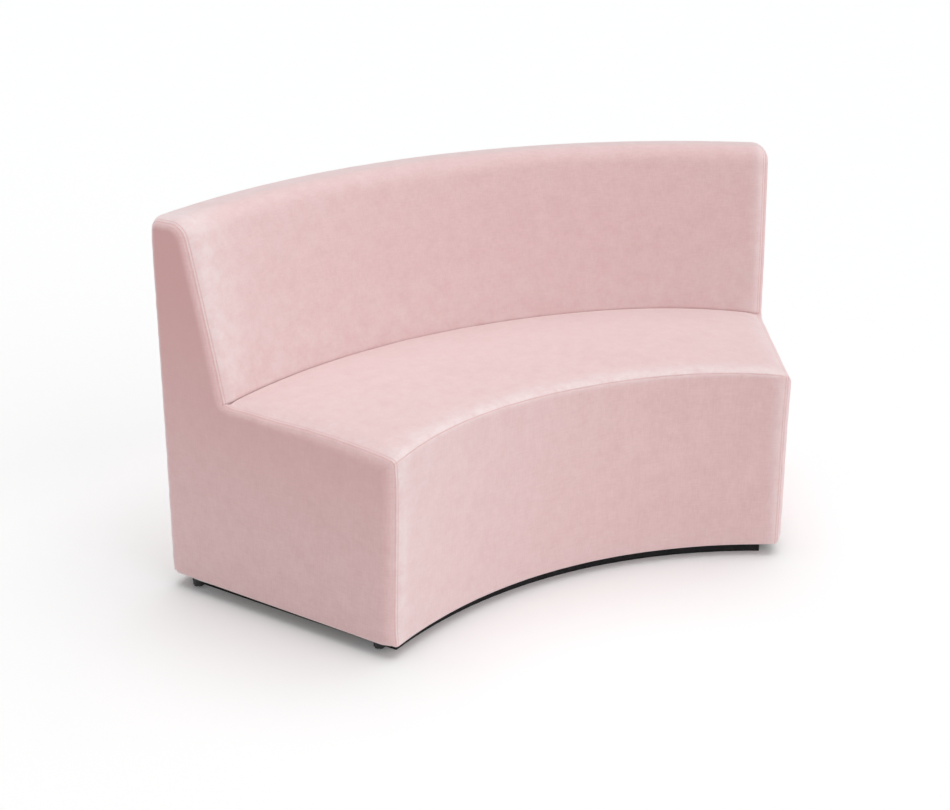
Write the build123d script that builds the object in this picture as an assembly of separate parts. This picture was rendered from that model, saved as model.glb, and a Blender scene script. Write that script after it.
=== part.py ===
from build123d import *
import math
import os

# Overall form of the unit: a 60 degree inside curve
sweep_angle = 60.0
front_radius = 930.0
body_height = 806.0
underside_height = 27.0

# Seat and back outline
seat_depth = 400.0
crevice_height = 449.0
seat_front_drop = 9.0
seat_crown_rise = 9.5
back_rake = 12.7
back_top_thickness = 90.0

# Rounding of the upholstered edges
seat_front_round = 20.0
top_front_round = 46.0
top_rear_round = 24.0
crevice_round = 5.0
end_round = 18.0
crevice_steps = 8

# Upholstery layers
cover_thickness = 2.0
front_padding_thickness = 10.0
rear_padding_thickness = 8.0
end_padding_thickness = 12.0
back_foam_thickness = 30.0
top_foam_thickness = 30.0
seat_foam_thickness = 100.0

# Plywood and timber carcass
board_thickness = 18.0
bendy_ply_thickness = 5.0
rail_thickness = 25.0
seat_rail_height = 60.0
top_rail_height = 40.0
seat_bays = 4
rib_drop = 10.0
rib_hole_radius = 70.0
rib_slot_width = 50.0
rib_slot_length = 190.0

# Elastic webbing under the seat foam
strap_width = 50.0
strap_thickness = 2.0
straps_per_bay = 3
strap_bearing = 30.0
strap_end_gap = 0.5

# Recessed plinth
plinth_front_recess = 25.0
plinth_end_recess = 35.0
plinth_rear_recess = 25.0
plinth_board = 18.0
plinth_bays = 3
plinth_block = 30.0
plinth_block_lift = 3.0

# Levelling feet inside the plinth
foot_end_angle = 10.0
foot_front_offset = 70.0
foot_rear_offset = 80.0
foot_pad_radius = 16.0
foot_pad_height = 8.0
foot_pad_round = 2.0
foot_hexagon_radius = 7.5
foot_hexagon_height = 4.0
foot_floor_gap = 1.0
foot_stem_radius = 4.0
foot_stem_top_gap = 3.0

# Link hardware under the ends
link_front_setback = 55.0
link_rear_setback = 55.0
link_end_inset = 22.0
link_plate_width = 22.0
link_plate_thickness = 4.0
link_plate_gap = 0.4
link_screw_radius = 4.0
link_knob_radius = 12.0
link_knob_height = 16.0
link_knob_lobes = 6
link_knob_notch_radius = 4.0
link_knob_notch_depth = 1.6
link_thread_reach = 12.0

# Threaded inserts and running clearances
insert_radius = 6.0
insert_length = 16.0
thread_clearance = 0.05
pivot_clearance = 0.1
hole_clearance = 1.0
link_hole_clearance = 0.5

# Derived sizes
half_angle = sweep_angle / 2
bay_angle = sweep_angle / seat_bays
rib_angles = [bay * bay_angle - half_angle for bay in range(1, seat_bays)]
bearer_angles = [bay * sweep_angle / plinth_bays - half_angle for bay in range(1, plinth_bays)]
foot_angles = (foot_end_angle - half_angle, 0.0, half_angle - foot_end_angle)
rake = math.radians(back_rake)
seat_front_height = crevice_height - seat_front_drop
seat_crown_height = crevice_height - seat_front_drop / 2 + seat_crown_rise
crevice_radius = front_radius + seat_depth
back_run = (body_height - crevice_height) * math.tan(rake)
back_radius = crevice_radius + back_run + back_top_thickness
body_depth = back_radius - front_radius
middle_radius = front_radius + body_depth / 2
tool_reach = 2 * body_height + 2 * body_depth
frame_bottom = underside_height + cover_thickness
frame_floor = frame_bottom + board_thickness
panel_front_radius = front_radius + cover_thickness + front_padding_thickness
frame_front_radius = panel_front_radius + bendy_ply_thickness
panel_rear_radius = back_radius - cover_thickness - rear_padding_thickness
frame_rear_radius = panel_rear_radius - bendy_ply_thickness
foam_bottom = crevice_height - seat_foam_thickness
rail_top = foam_bottom - strap_thickness
frame_top = body_height - cover_thickness - top_foam_thickness
pad_end_inset = cover_thickness + end_padding_thickness
frame_end_inset = pad_end_inset + board_thickness
panel_setback = cover_thickness + back_foam_thickness
frame_setback = panel_setback + bendy_ply_thickness
seam_inset = end_round * (1 - math.cos(math.radians(45)))
corner_reach = math.sqrt((front_radius + end_round) ** 2 - end_round ** 2)
plan_front = (
    corner_reach * math.cos(math.radians(half_angle))
    + end_round * math.sin(math.radians(half_angle))
    - end_round
)
plan_middle = (plan_front + back_radius) / 2


def raked_radius(height, behind=0.0):
    """Radius of the raked back face at a height, or of a face parallel to it further back."""
    return crevice_radius + (height - crevice_height) * math.tan(rake) + behind / math.cos(rake)


def outline(*points):
    """Closed flat face from corner points given as radius and height."""
    return make_face(Polyline(*[(radius, 0, height) for radius, height in points], close=True))


def band(inner, outer, low, high):
    """Rectangular section between two radii and two heights."""
    return outline((inner, low), (outer, low), (outer, high), (inner, high))


def sector(section):
    """Section swept round the arc and a little past both ends."""
    overrun = sweep_angle / 4
    return Rot(0, 0, 90 - half_angle - overrun) * revolve(section, Axis.Z, sweep_angle + 2 * overrun)


def end_slab(side, near, far):
    """Block between two planes parallel to an end face, measured inwards from it."""
    start = near if side > 0 else -far
    block = Box(tool_reach, far - near, tool_reach, align=(Align.CENTER, Align.MIN, Align.CENTER))
    return Rot(0, 0, 90 - side * half_angle) * Pos(middle_radius, start, 0) * block


def between_ends(solid, inset):
    """Solid cut off at both ends, each by a plane parallel to the end face and inset from it."""
    half_sweep = math.radians(half_angle)
    apex = inset / math.sin(half_sweep)
    side_reach = tool_reach * math.sin(half_sweep)
    far_reach = apex + tool_reach * math.cos(half_sweep)
    wedge = make_face(Polyline((0, apex), (side_reach, far_reach), (-side_reach, far_reach), close=True))
    return solid & extrude(wedge, tool_reach, both=True)


def at_angle(angle, radius, height=0.0):
    """Place on the arc, with X pointing away from the arc's axis."""
    return Rot(0, 0, 90 - angle) * Pos(radius, 0, height)


def at_end(side, radius, inset, height=0.0):
    """Place beside an end face, with X pointing away from the arc's axis."""
    return Rot(0, 0, 90 - side * half_angle) * Pos(radius, side * inset, height)


def seat_height(radius, inset):
    """Height of the crowned seat at a radius, or of a face parallel to it further in."""
    middle = front_radius + seat_depth / 2
    crown = ThreePointArc(
        (front_radius, seat_front_height), (middle, seat_crown_height), (crevice_radius, crevice_height)
    )
    centre = crown.arc_center
    return centre.Y + math.sqrt((crown.radius - inset) ** 2 - (radius - centre.X) ** 2)


def crevice_corner(inset):
    """Radius and height where the seat meets the raked back, at an inset from both."""
    height = crevice_height
    for _ in range(crevice_steps):
        height = seat_height(raked_radius(height, inset), inset)
    return raked_radius(height, inset), height


def body_section(bottom, inset):
    """Upright section of the upholstered body, or of a layer at an inset from its outside."""
    front = front_radius + inset
    rear = back_radius - inset
    top = body_height - inset
    middle = front_radius + seat_depth / 2
    crevice_at, crevice_z = crevice_corner(inset)
    seat_front = (front, 0, seat_height(front, inset))
    crown = (middle, 0, seat_height(middle, inset))
    crevice = (crevice_at, 0, crevice_z)
    top_front = (raked_radius(top, inset), 0, top)
    top_rear = (rear, 0, top)
    edges = [
        Line((front, 0, bottom), seat_front),
        ThreePointArc(seat_front, crown, crevice),
        Line(crevice, top_front),
        Line(top_front, top_rear),
        Line(top_rear, (rear, 0, bottom)),
        Line((rear, 0, bottom), (front, 0, bottom)),
    ]
    section = make_face(edges)
    rounded_corners = (
        (seat_front, seat_front_round - inset),
        (crevice, crevice_round + inset),
        (top_front, top_front_round - inset),
        (top_rear, top_rear_round - inset),
    )
    for corner, radius in rounded_corners:
        section = fillet(section.vertices().sort_by_distance(corner)[0], radius)
    return section


def rolled_body(bottom, inset):
    """Body swept round the arc at an inset from its outside, with the end edges rolled over."""
    body = between_ends(sector(body_section(bottom, inset)), inset)
    end_edges = []
    for side in (-1, 1):
        square = Vector(0, 1, 0).rotate(Axis.Z, 90 - side * half_angle)
        for face in body.faces().filter_by(GeomType.PLANE):
            if abs(face.normal_at().dot(square)) > 0.999:
                end_edges += [edge for edge in face.edges() if edge.bounding_box().max.Z > bottom + end_round]
    return fillet(end_edges, end_round - inset)


def fill_space():
    """Everything inside the covers, running on below the underside."""
    return rolled_body(underside_height / 2, cover_thickness)


def covers(fill):
    """Sewn cover panels, parted along the seams."""
    skin = rolled_body(underside_height, 0) - fill
    tube = between_ends(skin, seam_inset)
    over = body_depth / 8
    front_seam_out = (front_radius - over, seat_front_height + over)
    front_seam_in = (front_radius + over, seat_front_height - over)
    crevice_in = (crevice_radius + over, crevice_height - over)
    crevice_out = (crevice_radius - over, crevice_height + over)
    rear_seam_in = (back_radius - over, body_height - over)
    rear_seam_out = (back_radius + over, body_height + over)
    regions = {
        "front_cover": outline(
            front_seam_out, front_seam_in, (front_radius + over, 0), (front_radius - over, 0)
        ),
        "seat_cover": outline(front_seam_out, front_seam_in, crevice_in, crevice_out),
        "inside_back_cover": outline(
            crevice_in, crevice_out, (crevice_radius - over, body_height + over), rear_seam_out, rear_seam_in
        ),
        "outside_back_cover": outline(
            rear_seam_out, rear_seam_in, (back_radius - over, 0), (back_radius + over, 0)
        ),
    }
    panels = {name: tube & sector(region) for name, region in regions.items()}
    for side, name in ((-1, "end_cover_left"), (1, "end_cover_right")):
        panels[name] = skin & end_slab(side, -end_round, seam_inset)
    underside = band(front_radius, back_radius, underside_height, frame_bottom)
    dust_cover = fill & sector(underside)
    for place in link_places() + foot_places():
        dust_cover -= place * Cylinder(insert_radius + hole_clearance, tool_reach)
    panels["dust_cover"] = dust_cover
    return panels


def foam(fill):
    """Seat and back foam, and the thin padding on the front, the outer back and the ends."""
    middle = between_ends(fill, pad_end_inset)
    above = body_height + back_foam_thickness
    ahead = front_radius - back_foam_thickness
    beyond = back_radius + back_foam_thickness
    split = crevice_height - cover_thickness
    regions = {
        "front_padding": band(ahead, panel_front_radius, frame_bottom, foam_bottom),
        "outer_back_padding": band(panel_rear_radius, beyond, frame_bottom, frame_top),
        "seat_foam": outline(
            (ahead, foam_bottom),
            (raked_radius(foam_bottom, panel_setback), foam_bottom),
            (raked_radius(split, panel_setback), split),
            (crevice_radius, split),
            (crevice_radius, above),
            (ahead, above),
        ),
        "back_foam": outline(
            (crevice_radius, split),
            (raked_radius(split, panel_setback), split),
            (raked_radius(frame_top, panel_setback), frame_top),
            (beyond, frame_top),
            (beyond, above),
            (crevice_radius, above),
        ),
    }
    pieces = {name: middle & sector(region) for name, region in regions.items()}
    upper = sector(band(ahead, beyond, frame_bottom, above))
    for side, name in ((-1, "end_padding_left"), (1, "end_padding_right")):
        pieces[name] = fill & upper & end_slab(side, 0, pad_end_inset)
    return pieces


def frame_outline(seat_top):
    """Outline shared by the end frames and the ribs, up to a height under the seat."""
    foot_of_back = raked_radius(rail_top, frame_setback)
    return outline(
        (frame_front_radius, frame_floor),
        (frame_rear_radius, frame_floor),
        (frame_rear_radius, frame_top),
        (raked_radius(frame_top, frame_setback), frame_top),
        (foot_of_back, rail_top),
        (foot_of_back, seat_top),
        (frame_front_radius, seat_top),
    )


def rails():
    """Curved rails between the end frames."""
    rear_rail_front = raked_radius(rail_top, panel_setback) - strap_bearing
    rear_rail_back = raked_radius(rail_top, frame_setback)
    rail_bottom = rail_top - seat_rail_height
    top_rail_bottom = frame_top - top_rail_height
    sections = {
        "seat_front_rail": band(frame_front_radius, frame_front_radius + rail_thickness, rail_bottom, rail_top),
        "seat_rear_rail": band(rear_rail_front, rear_rail_back, rail_bottom, rail_top),
        "back_top_rail": outline(
            (raked_radius(top_rail_bottom, frame_setback), top_rail_bottom),
            (frame_rear_radius, top_rail_bottom),
            (frame_rear_radius, frame_top),
            (raked_radius(frame_top, frame_setback), frame_top),
        ),
    }
    return {name: between_ends(sector(section), frame_end_inset) for name, section in sections.items()}


def end_frames():
    """Plywood end frames in the shape of the seat and back."""
    plate = sector(frame_outline(rail_top - strap_thickness))
    sides = ((-1, "end_frame_left"), (1, "end_frame_right"))
    return {name: plate & end_slab(side, pad_end_inset, frame_end_inset) for side, name in sides}


def ribs(rail_pieces):
    """Plywood ribs with lightening holes, notched for the rails."""
    plate = sector(frame_outline(rail_top - rib_drop))
    hole_radius = (frame_front_radius + crevice_radius) / 2
    hole_height = (frame_floor + rail_top - seat_rail_height) / 2
    slot_height = (crevice_height + frame_top - top_rail_height) / 2
    slot_radius = (raked_radius(slot_height, frame_setback) + frame_rear_radius) / 2
    pieces = {}
    for name, angle in zip(("rib_left", "rib_middle", "rib_right"), rib_angles):
        rib = plate & at_angle(angle, middle_radius) * Box(tool_reach, board_thickness, tool_reach)
        for rail in rail_pieces.values():
            rib -= rail
        across = Rot(90, 0, 0)
        rib -= at_angle(angle, hole_radius, hole_height) * across * Cylinder(rib_hole_radius, tool_reach)
        slot = extrude(SlotOverall(rib_slot_length, rib_slot_width, rotation=90), board_thickness, both=True)
        rib -= at_angle(angle, slot_radius, slot_height) * across * slot
        pieces[name] = rib
    return pieces


def panels():
    """Base board and the bendy plywood skins of the front, outer back and inside back."""
    board = sector(band(panel_front_radius, panel_rear_radius, frame_bottom, frame_floor))
    for place in link_places() + foot_places():
        board -= place * Cylinder(insert_radius + thread_clearance, tool_reach)
    inside_back = outline(
        (raked_radius(rail_top, panel_setback), rail_top),
        (raked_radius(rail_top, frame_setback), rail_top),
        (raked_radius(frame_top, frame_setback), frame_top),
        (raked_radius(frame_top, panel_setback), frame_top),
    )
    solids = {
        "base_board": board,
        "front_panel": sector(band(panel_front_radius, frame_front_radius, frame_floor, rail_top)),
        "back_panel": sector(band(frame_rear_radius, panel_rear_radius, frame_floor, frame_top)),
        "inner_back_panel": sector(inside_back),
    }
    return {name: between_ends(solid, pad_end_inset) for name, solid in solids.items()}


def webbing():
    """Elastic straps stretched from the front rail to the rear rail, three to a bay."""
    start = frame_front_radius
    stop = raked_radius(rail_top, panel_setback) - strap_end_gap
    strap = Box(stop - start, strap_width, strap_thickness, align=(Align.MIN, Align.CENTER, Align.MIN))
    steps = [(step + 1) / (straps_per_bay + 1) for step in range(straps_per_bay)]
    angles = [(bay + step) * bay_angle - half_angle for bay in range(seat_bays) for step in steps]
    return {"seat_webbing": Compound([at_angle(angle, start, rail_top) * strap for angle in angles])}


def plinth():
    """Black recessed plinth: curved boards, end boards, cross bearers and corner blocks."""
    front_face = front_radius + plinth_front_recess
    front_back = front_face + plinth_board
    rear_face = back_radius - plinth_rear_recess
    rear_front = rear_face - plinth_board
    end_inner = plinth_end_recess + plinth_board
    inside = sector(band(front_back, rear_front, 0, underside_height))
    curved = {
        "plinth_front": sector(band(front_face, front_back, 0, underside_height)),
        "plinth_rear": sector(band(rear_front, rear_face, 0, underside_height)),
    }
    pieces = {name: between_ends(board, plinth_end_recess) for name, board in curved.items()}
    for side, name in ((-1, "plinth_end_left"), (1, "plinth_end_right")):
        pieces[name] = inside & end_slab(side, plinth_end_recess, end_inner)
    for angle, name in zip(bearer_angles, ("plinth_bearer_left", "plinth_bearer_right")):
        pieces[name] = inside & at_angle(angle, middle_radius) * Box(tool_reach, plinth_board, tool_reach)
    front_corner = band(front_back, front_back + plinth_block, plinth_block_lift, underside_height)
    rear_corner = band(rear_front - plinth_block, rear_front, plinth_block_lift, underside_height)
    blocks = [
        sector(corner) & end_slab(side, end_inner, end_inner + plinth_block)
        for corner in (front_corner, rear_corner)
        for side in (-1, 1)
    ]
    pieces["plinth_corner_blocks"] = Compound([solid for block in blocks for solid in block.solids()])
    return pieces


def foot_places():
    """Axes of the levelling feet, front row and then rear row."""
    rows = (front_radius + foot_front_offset, back_radius - foot_rear_offset)
    return [at_angle(angle, radius) for radius in rows for angle in foot_angles]


def threaded_insert():
    """Sleeve pressed into the base board from below, threaded inside."""
    sleeve = Cylinder(insert_radius, insert_length) - Cylinder(foot_stem_radius + thread_clearance, insert_length)
    return Pos(0, 0, frame_bottom + insert_length / 2) * sleeve


def levelling_feet():
    """Moulded pads with hexagon and stem, each in its threaded insert."""
    stem_top = frame_bottom + insert_length - foot_stem_top_gap
    pad_top = foot_floor_gap + foot_pad_height
    pad = Pos(0, 0, foot_floor_gap) * Cylinder(
        foot_pad_radius, foot_pad_height, align=(Align.CENTER, Align.CENTER, Align.MIN)
    )
    pad = fillet(pad.edges().sort_by(Axis.Z)[-1], foot_pad_round)
    hexagon = Pos(0, 0, pad_top) * extrude(RegularPolygon(foot_hexagon_radius, 6), foot_hexagon_height)
    stem = Pos(0, 0, pad_top) * Cylinder(
        foot_stem_radius, stem_top - pad_top, align=(Align.CENTER, Align.CENTER, Align.MIN)
    )
    foot = pad + hexagon + stem
    rows = [f"{row}_{side}" for row in ("front", "rear") for side in ("left", "middle", "right")]
    pieces = {f"levelling_foot_{name}": place * foot for name, place in zip(rows, foot_places())}
    pieces["levelling_inserts"] = Compound([place * threaded_insert() for place in foot_places()])
    return pieces


def link_places():
    """Axes of the link hardware: front and rear at the left end, then at the right end."""
    radii = (front_radius + link_front_setback, back_radius - link_rear_setback)
    return [at_end(side, radius, link_end_inset) for side in (-1, 1) for radius in radii]


def hand_screw(knob_top):
    """Screw with a lobed knob, turned by hand."""
    knob = Cylinder(link_knob_radius, link_knob_height, align=(Align.CENTER, Align.CENTER, Align.MAX))
    notch_centre = link_knob_radius + link_knob_notch_radius - link_knob_notch_depth
    for notch in PolarLocations(notch_centre, link_knob_lobes):
        knob -= notch * Cylinder(link_knob_notch_radius, tool_reach)
    shank_length = frame_bottom + link_thread_reach - knob_top
    shank = Cylinder(link_screw_radius, shank_length, align=(Align.CENTER, Align.CENTER, Align.MIN))
    return Pos(0, 0, knob_top) * (knob + shank)


def link_plate():
    """Flat steel strip with a pivot hole at the origin and a joining hole a span away along X."""
    span = 2 * link_end_inset
    strip = Pos(span / 2, 0, 0) * extrude(SlotCenterToCenter(span, link_plate_width), link_plate_thickness)
    strip -= Cylinder(link_screw_radius + pivot_clearance, tool_reach)
    return strip - Pos(span, 0, 0) * Cylinder(link_screw_radius + link_hole_clearance, tool_reach)


def link_hardware():
    """Two swinging link plates at the left end and hand screws for both ends."""
    left_front, left_rear, right_front, right_rear = link_places()
    plate_bottom = underside_height - link_plate_gap - link_plate_thickness
    plate = Pos(0, 0, plate_bottom) * link_plate()
    pivot_screw = hand_screw(plate_bottom - link_plate_gap)
    join_screw = hand_screw(underside_height)
    return {
        "link_plate_front": left_front * plate,
        "link_plate_rear": left_rear * Rot(0, 0, 180) * plate,
        "link_screws_left": Compound([left_front * pivot_screw, left_rear * pivot_screw]),
        "link_screws_right": Compound([right_front * join_screw, right_rear * join_screw]),
        "link_inserts": Compound([place * threaded_insert() for place in link_places()]),
    }


def build_nodes():
    """Every piece by name, in the frame of the arc's axis."""
    fill = fill_space()
    rail_pieces = rails()
    nodes = {}
    nodes.update(covers(fill))
    nodes.update(foam(fill))
    nodes.update(rail_pieces)
    nodes.update(end_frames())
    nodes.update(ribs(rail_pieces))
    nodes.update(panels())
    nodes.update(webbing())
    nodes.update(plinth())
    nodes.update(levelling_feet())
    nodes.update(link_hardware())
    return nodes


os.makedirs("parts", exist_ok=True)
for node_name, piece in build_nodes().items():
    export_step(Pos(0, -plan_middle, 0) * piece, f"parts/{node_name}.step")
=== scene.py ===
import math

import bmesh
import bpy
import numpy as np
from mathutils.geometry import delaunay_2d_cdt
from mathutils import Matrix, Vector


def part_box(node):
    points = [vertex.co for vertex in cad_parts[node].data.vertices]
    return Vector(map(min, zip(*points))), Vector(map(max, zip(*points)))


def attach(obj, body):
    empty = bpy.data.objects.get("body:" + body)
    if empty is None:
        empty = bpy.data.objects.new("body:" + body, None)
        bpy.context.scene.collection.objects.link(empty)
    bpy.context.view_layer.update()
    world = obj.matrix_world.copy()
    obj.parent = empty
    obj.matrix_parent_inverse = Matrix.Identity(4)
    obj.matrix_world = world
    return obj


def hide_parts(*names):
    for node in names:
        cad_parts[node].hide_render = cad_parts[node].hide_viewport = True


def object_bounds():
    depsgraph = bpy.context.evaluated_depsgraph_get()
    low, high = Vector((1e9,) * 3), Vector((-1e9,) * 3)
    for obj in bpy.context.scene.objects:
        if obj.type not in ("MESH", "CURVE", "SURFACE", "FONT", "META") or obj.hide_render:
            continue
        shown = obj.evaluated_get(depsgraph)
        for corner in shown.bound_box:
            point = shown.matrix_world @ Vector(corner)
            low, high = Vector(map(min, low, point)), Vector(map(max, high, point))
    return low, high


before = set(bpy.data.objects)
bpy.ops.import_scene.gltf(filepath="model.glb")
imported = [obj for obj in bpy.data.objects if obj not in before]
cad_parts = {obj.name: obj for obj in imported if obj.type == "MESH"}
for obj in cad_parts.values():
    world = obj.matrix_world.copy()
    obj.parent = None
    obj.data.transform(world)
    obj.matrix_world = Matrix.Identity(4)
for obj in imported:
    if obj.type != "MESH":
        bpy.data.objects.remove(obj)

cad_low, cad_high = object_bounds()

# Form of the body in metres: a section swept 60 degrees round an upright axis in front of the seat
HALF_SWEEP = math.radians(30)
FRONT_RADIUS = 0.930
CREVICE_RADIUS = 1.330
SEAT_FRONT_HEIGHT = 0.440
SEAT_CROWN_HEIGHT = 0.454
CREVICE_HEIGHT = 0.449
RAKE = math.radians(12.7)
TOP = cad_high.z
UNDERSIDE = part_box("front_cover")[0].z
TOP_THICKNESS = 0.090
BACK_RADIUS = CREVICE_RADIUS + (TOP - CREVICE_HEIGHT) * math.tan(RAKE) + TOP_THICKNESS
AXIS_Y = cad_high.y - BACK_RADIUS
REAR_SWELL = 0.002
REAR_RADIUS = BACK_RADIUS + REAR_SWELL

# Rounding of the section, and the crevice, which comes up at its two ends
SEAT_FRONT_ROUND = 0.016
SEAT_FRONT_SEAM = 150
TOP_FRONT_ROUND = 0.046
TOP_REAR_ROUND = 0.024
HEM_ROUND = 0.006
HEM_TURN = 0.022
HEM_TUCK = 0.013
CREVICE_ROUND = 0.0085
CREVICE_LEAD = 0.006
CREVICE_DROP = 0.010
CREVICE_END = 0.003
CREVICE_END_FROM = 0.95
CREVICE_END_LIFT = 0.03
CREVICE_REACH = 0.02
BACK_FOOT_ROUND = 0.008
BACK_FOOT_LIFT = 0.002
BACK_FOOT_TURN = 235

# Seams, and the roll of each panel down to them
SEAM_INSET_BACK = 0.0085
SEAM_INSET_FRONT = 0.0115
SEAM_INSET_RADII = (FRONT_RADIUS + 0.05, CREVICE_RADIUS - 0.05)
SEAM_GROOVE = 0.0002
STITCH_GROOVE = 0.00015
SEAM_GROOVE_WIDTH = 0.0009
SEAM_RIDGE = 0.0004
STITCH_INSET = 0.0044
# Painted shade darkening the seam grooves and stitch lines
SEAM_SHADE = 0.35
END_ROLL_BACK = 0.0155
END_ROLL_FRONT = 0.027
END_HEM_DROP = 0.005
END_HEM_ROLL = 0.011
END_HEM_LIFT = 0.002
END_HEM_LIFT_REAR = 0.003

# Puckers along the seams: height, wave and reach. Slow waves of the filling: slant and wave
END_PUCKER = (0.0005, 0.045, 0.014)
EDGE_PUCKER = (0.0004, 0.055, 0.012)
END_PANEL_PUCKER = (0.0006, 0.05, 0.012)
END_PANEL_SEED = 71
SLOW_WAVES = ((0.6, 0.31), (-0.9, 0.23))
SLOW_HEIGHT = 0.0005
SLOW_FADE = 0.06
RIPPLE_WAVES = 5
RIPPLE_SPREAD = (0.6, 1.6)

# Droop of the seat towards its two ends, at the front and in the crevice, and where it begins and dies out
DROOP_LEFT = (0.020, 0.004)
DROOP_RIGHT = (0.012, 0.022)
DROOP_GATHER = 0.3
DROOP_POWER = 4.0
DROOP_START_HEIGHTS = (0.30, SEAT_FRONT_HEIGHT)
DROOP_FADE_HEIGHTS = (CREVICE_HEIGHT + 0.01, 0.56)
DROOP_FADE_RADII = (CREVICE_RADIUS + 0.03, CREVICE_RADIUS + 0.09)

# Rise of the back's top between its ends, and how far the ends stand out towards their foot
TOP_RISE = 0.010
TOP_SINK = 0.006
TOP_RISE_FROM = 0.64
TOP_RISE_POWER = 2.2
END_PROUD = 0.002
END_FLARE = 0.007
END_FLARE_HEIGHT = 0.36
END_FLARE_REAR = 0.3

# Painted light on the velvet: painted sheen beside the seams and more of it round the curve to the left,
# painted shade on the ends, growing towards the top, and in the crevice
SHADE_WIDTH = 0.02
END_SHEEN_LEFT = 0.55
END_SHEEN_RIGHT = 0.45
END_SHEEN_WIDTH_RIGHT = 0.04
END_PANEL_SHEEN = 0.15
END_PANEL_SHEEN_WIDTH = 0.018
END_PANEL_SHADE = 0.9
END_PANEL_SHADE_HEIGHTS = (0.05, 0.75)

# Grid of the panels
ARC_POINTS = 40
SEAT_POINTS = 80
HEM_POINTS = 90
PROFILE_STEP = 0.0005
EDGE_STEP = 0.0007
EDGE_GROWTH = 1.12
FIELD_STEP = 0.0075
CLOTH_STEP = 0.022
END_FIELD_STEP = 0.012
END_FIELD_GAP = 0.006
RINGS_RUN = 0.12
RINGS_REACH = 0.036
RINGS_CLEAR = 0.96
SAME_POINT = 1e-7
ON_EDGE = 1e-5
LEAST_DEPTH = 1e-6

# Depth of the pads, how full they are, and their swelling
PAD_DEPTH = 0.005
PAD_EDGE = 0.015
END_CROWN = 0.003
END_HELD = 0.004
CLOTH_FRAMES = 20
CLOTH_PRESSURE = 4.0

# Dust cover: thin lining held between the plinth and the base board, sagging a little in the plinth's bays
LINING_MARGIN = 0.020
LINING_HEIGHT = 0.0281
LINING_THICKNESS = 0.0006
LINING_SAG = 0.0025
LINING_SAG_POWER = 1.5
LINING_SAG_ENDS = (0.86, 0.93)
LINING_GRID = (121, 57)
PLINTH_BAYS = 3
PLINTH_FRONT_RADIUS = 0.975
PLINTH_REAR_RADIUS = 1.457

# Floor and dome of the studio
FLOOR_SIZE = 60.0
FLOOR_COLOUR = (0.924, 0.93, 0.93)
FLOOR_GLOW = 0.06
DOME_LIGHT = 0.43

# Suns with wide discs: strength, height over the horizon and turn towards +X from the front, in degrees
LAMPS = {"overhead": (1.60, 80, 110), "front": (0.88, 14, 28)}
SOFT_ANGLE = math.radians(65)

# Photograph's camera, in the row frame
CAMERA_PLACE = (-1.54094, AXIS_Y - 1.39608, 1.52742)
CAMERA_PITCH = math.radians(21.11)
CAMERA_YAW = math.radians(27.54)
CAMERA_LENS = 55.87
CAMERA_SENSOR = 36.0
CAMERA_SHIFT = (0.0472, -0.0267)


def smooth(low, high, value):
    """Smooth step from 0 at low to 1 at high."""
    share = np.clip((value - low) / (high - low), 0, 1)
    return share * share * (3 - 2 * share)


def ripple(distance, wave, seed):
    """An uneven wave about zero along a distance."""
    draw = np.random.default_rng(seed)
    total = np.zeros_like(distance)
    for _ in range(RIPPLE_WAVES):
        length = wave * draw.uniform(*RIPPLE_SPREAD)
        phase = draw.uniform(0, 2 * math.pi)
        total += np.sin(2 * math.pi * distance / length + phase)
    return total / RIPPLE_WAVES


def pucker(place, to_seam, size, seed):
    """Small uneven waves along a seam that die out away from it."""
    height, wave, reach = size
    return height * ripple(place, wave, seed) * np.exp(-to_seam / reach)


def arc(centre, radius, start, end):
    """Points of an arc in the section plane, between two angles in degrees."""
    angles = np.radians(np.linspace(start, end, ARC_POINTS))
    return np.column_stack([centre[0] + radius * np.cos(angles), centre[1] + radius * np.sin(angles)])


def trace(*runs):
    """The joined runs as one line of even steps, with each point's outward normal."""
    points = np.vstack([np.asarray(run, float) for run in runs])
    step = np.hypot(*np.diff(points, axis=0).T)
    points = points[np.concatenate([[True], step > SAME_POINT])]
    travel = np.concatenate([[0], np.cumsum(np.hypot(*np.diff(points, axis=0).T))])
    count = int(travel[-1] / PROFILE_STEP) + 1
    even = np.linspace(0, travel[-1], count)
    line = np.column_stack([np.interp(even, travel, points[:, axis]) for axis in (0, 1)])
    along = np.gradient(line, axis=0)
    along /= np.hypot(*along.T)[:, None]
    normals = np.column_stack([-along[:, 1], along[:, 0]])
    return even, line, normals


def seat_height(radius):
    """Height of the seat's crowned top across its depth."""
    middle = (FRONT_RADIUS + CREVICE_RADIUS) / 2
    across = (FRONT_RADIUS, middle, CREVICE_RADIUS)
    heights = (SEAT_FRONT_HEIGHT, SEAT_CROWN_HEIGHT, CREVICE_HEIGHT)
    return np.polyval(np.polyfit(across, heights, 2), radius)


def back_radius_at(height):
    """Radius of the raked face of the back."""
    return CREVICE_RADIUS + (height - CREVICE_HEIGHT) * math.tan(RAKE)


def crevice_turn():
    """Centre of the arc by which the seat turns down into the crevice."""
    radius = CREVICE_RADIUS - CREVICE_LEAD
    return radius, seat_height(radius) - CREVICE_ROUND


def front_path():
    corner = seat_height(FRONT_RADIUS + SEAT_FRONT_ROUND) - SEAT_FRONT_ROUND
    return trace(
        [(FRONT_RADIUS + HEM_TURN, UNDERSIDE)],
        arc((FRONT_RADIUS + HEM_ROUND, UNDERSIDE + HEM_ROUND), HEM_ROUND, 270, 180),
        arc((FRONT_RADIUS + SEAT_FRONT_ROUND, corner), SEAT_FRONT_ROUND, 180, SEAT_FRONT_SEAM),
    )


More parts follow.
